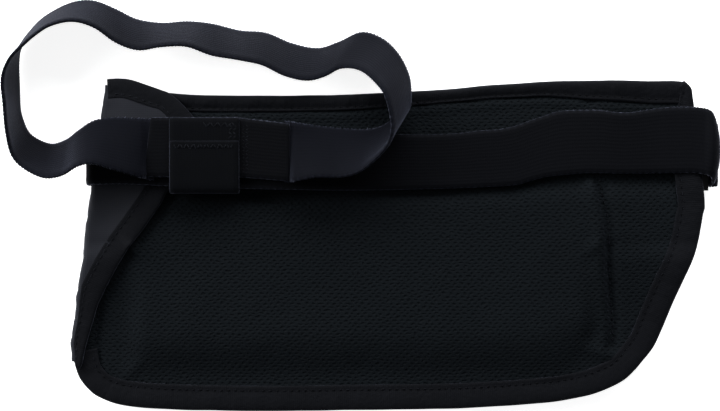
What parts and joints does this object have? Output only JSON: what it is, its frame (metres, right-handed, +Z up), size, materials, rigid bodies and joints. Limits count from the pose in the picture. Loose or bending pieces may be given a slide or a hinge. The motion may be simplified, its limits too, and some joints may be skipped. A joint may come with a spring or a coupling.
{
  "type": "money belt",
  "caption": "Flat black waist pouch for travel, with mesh back, zipped pockets and an elastic belt closed by a side-release buckle.",
  "frame": {"origin": "centre of the laid-down part in plan, on the surface it lies on", "axes": "+X along the belt, +Y to the edge of the pouch worn uppermost, +Z up, out of the mesh back; the zipped front faces down"},
  "size_m": [0.3029, 0.1762, 0.0381],
  "materials": {
    "spacer_mesh": "matte air mesh",
    "lining_nylon": "plain weave",
    "front_nylon": "ripstop weave",
    "wing_nylon": "smooth weave, slight sheen",
    "binding_tape": "ribbed tape",
    "elastic_strap": "knitted elastic",
    "keeper_elastic": "ribbed elastic",
    "zip_tape": "woven tape",
    "zip_coil": "nylon coil",
    "zip_metal": "black lacquered",
    "buckle_plastic": "moulded acetal"
  },
  "bodies": {
    "pouch": {"back_panel": "spacer_mesh", "pocket_divider": "lining_nylon", "front_panel_top": "front_nylon", "front_panel_middle": "front_nylon", "front_panel_pocket": "front_nylon", "front_panel_hem_lower": "front_nylon", "front_panel_hem_left": "front_nylon", "front_panel_hem_right": "front_nylon", "front_panel_hem_upper": "front_nylon", "main_zip_tape_lower": "zip_tape", "main_zip_tape_upper": "zip_tape", "front_zip_tape_lower": "zip_tape", "front_zip_tape_upper": "zip_tape", "edge_binding": "binding_tape", "left_wing_lining": "spacer_mesh", "left_wing_face": "wing_nylon", "wing_binding": "binding_tape", "left_wing_fold": "wing_nylon", "belt_strap": "elastic_strap", "strap_ring": "elastic_strap", "strap_end_piece": "elastic_strap", "main_zip_coil": "zip_coil", "main_zip_stops": "zip_metal", "front_zip_coil": "zip_coil", "front_zip_stops": "zip_metal", "buckle_socket": "buckle_plastic"},
    "main_slider": {"main_zip_slider": "zip_metal"},
    "main_pull": {"main_zip_pull": "zip_metal"},
    "front_slider": {"front_zip_slider": "zip_metal"},
    "front_pull": {"front_zip_pull": "zip_metal"},
    "insert": {"buckle_insert": "buckle_plastic", "insert_strap": "elastic_strap"},
    "latch_lower": {"buckle_latch_lower": "buckle_plastic"},
    "latch_upper": {"buckle_latch_upper": "buckle_plastic"},
    "adjuster": {"strap_adjuster": "buckle_plastic"},
    "keeper": {"strap_keeper": "keeper_elastic"}
  },
  "joints": [
    {"name": "main_zip_slide", "type": "slide", "parent": "pouch", "child": "main_slider", "axis": [-1, 0, 0], "range_m": [0, 0.16]},
    {"name": "main_pull_hinge", "type": "hinge", "parent": "main_slider", "child": "main_pull", "pos_m": [0.0815, 0.0362, 0.0042], "axis": [0, -1, 0], "range_deg": [0, 165]},
    {"name": "front_zip_slide", "type": "slide", "parent": "pouch", "child": "front_slider", "axis": [1, 0, 0], "range_m": [0, 0.16]},
    {"name": "front_pull_hinge", "type": "hinge", "parent": "front_slider", "child": "front_pull", "pos_m": [-0.0835, -0.0058, 0.0042], "axis": [0, 1, 0], "range_deg": [0, 165]},
    {"name": "insert_slide", "type": "slide", "parent": "pouch", "child": "insert", "axis": [-1, 0, 0], "range_m": [0, 0.024], "deforming": ["buckle_latch_lower", "buckle_latch_upper"]},
    {"name": "latch_lower_press", "type": "hinge", "parent": "insert", "child": "latch_lower", "pos_m": [0.0022, 0.0083, 0.0038], "axis": [0, 0, 1], "range_deg": [0, 6], "stiffness_Nm_per_rad": 0.02},
    {"name": "latch_upper_press", "type": "hinge", "parent": "insert", "child": "latch_upper", "pos_m": [0.0022, 0.0241, 0.0038], "axis": [0, 0, -1], "range_deg": [0, 6], "stiffness_Nm_per_rad": 0.02},
    {"name": "adjuster_slide", "type": "slide", "parent": "pouch", "child": "adjuster", "axis": [-1, 0, 0], "range_m": [0, 0.035]},
    {"name": "keeper_slide", "type": "slide", "parent": "pouch", "child": "keeper", "axis": [1, 0, 0], "range_m": [-0.007, 0.018]}
  ]
}
